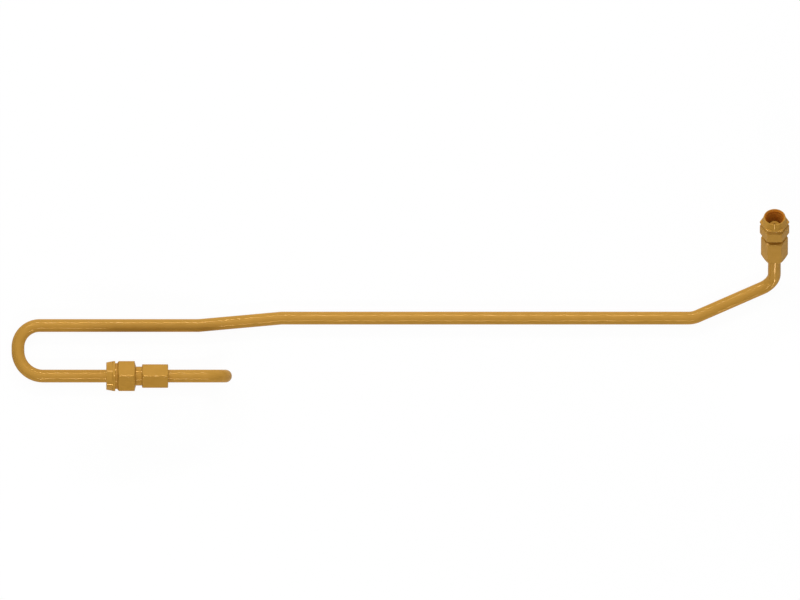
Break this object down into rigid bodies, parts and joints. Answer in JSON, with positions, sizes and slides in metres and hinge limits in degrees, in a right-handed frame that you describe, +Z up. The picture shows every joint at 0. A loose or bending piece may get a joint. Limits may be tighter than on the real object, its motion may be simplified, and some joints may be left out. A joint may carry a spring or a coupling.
{
  "type": "injector pipe",
  "caption": "Bent thick-walled fuel tube with a free-turning union nut and a long hex sleeve at each end.",
  "frame": {"origin": "on the bench under the middle of the pipe as it lies at rest", "axes": "+X along the long run towards the small union nut, +Y from the hooked return leg towards the long run, +Z up from the bench"},
  "size_m": [0.577, 0.1352, 0.0643],
  "materials": {
    "pipe_enamel": "gloss enamel over steel",
    "fitting_enamel": "gloss enamel over steel",
    "ring_steel": "bare turned steel"
  },
  "bodies": {
    "pipe": {"fuel_pipe": "pipe_enamel", "lower_hex_sleeve": "fitting_enamel", "upper_hex_sleeve": "fitting_enamel", "lower_thrust_ring": "ring_steel", "upper_thrust_ring": "ring_steel"},
    "large_nut": {"large_union_nut": "fitting_enamel"},
    "small_nut": {"small_union_nut": "fitting_enamel"}
  },
  "joints": [
    {"name": "large_nut_spin", "type": "hinge", "parent": "pipe", "child": "large_nut", "pos_m": [-0.21833, -0.05644, 0.04226], "axis": [-1, 0, 0], "continuous": true},
    {"name": "small_nut_spin", "type": "hinge", "parent": "pipe", "child": "small_nut", "pos_m": [0.27749, 0.06171, 0.05905], "axis": [0, 0.6691, 0.7431], "continuous": true}
  ]
}
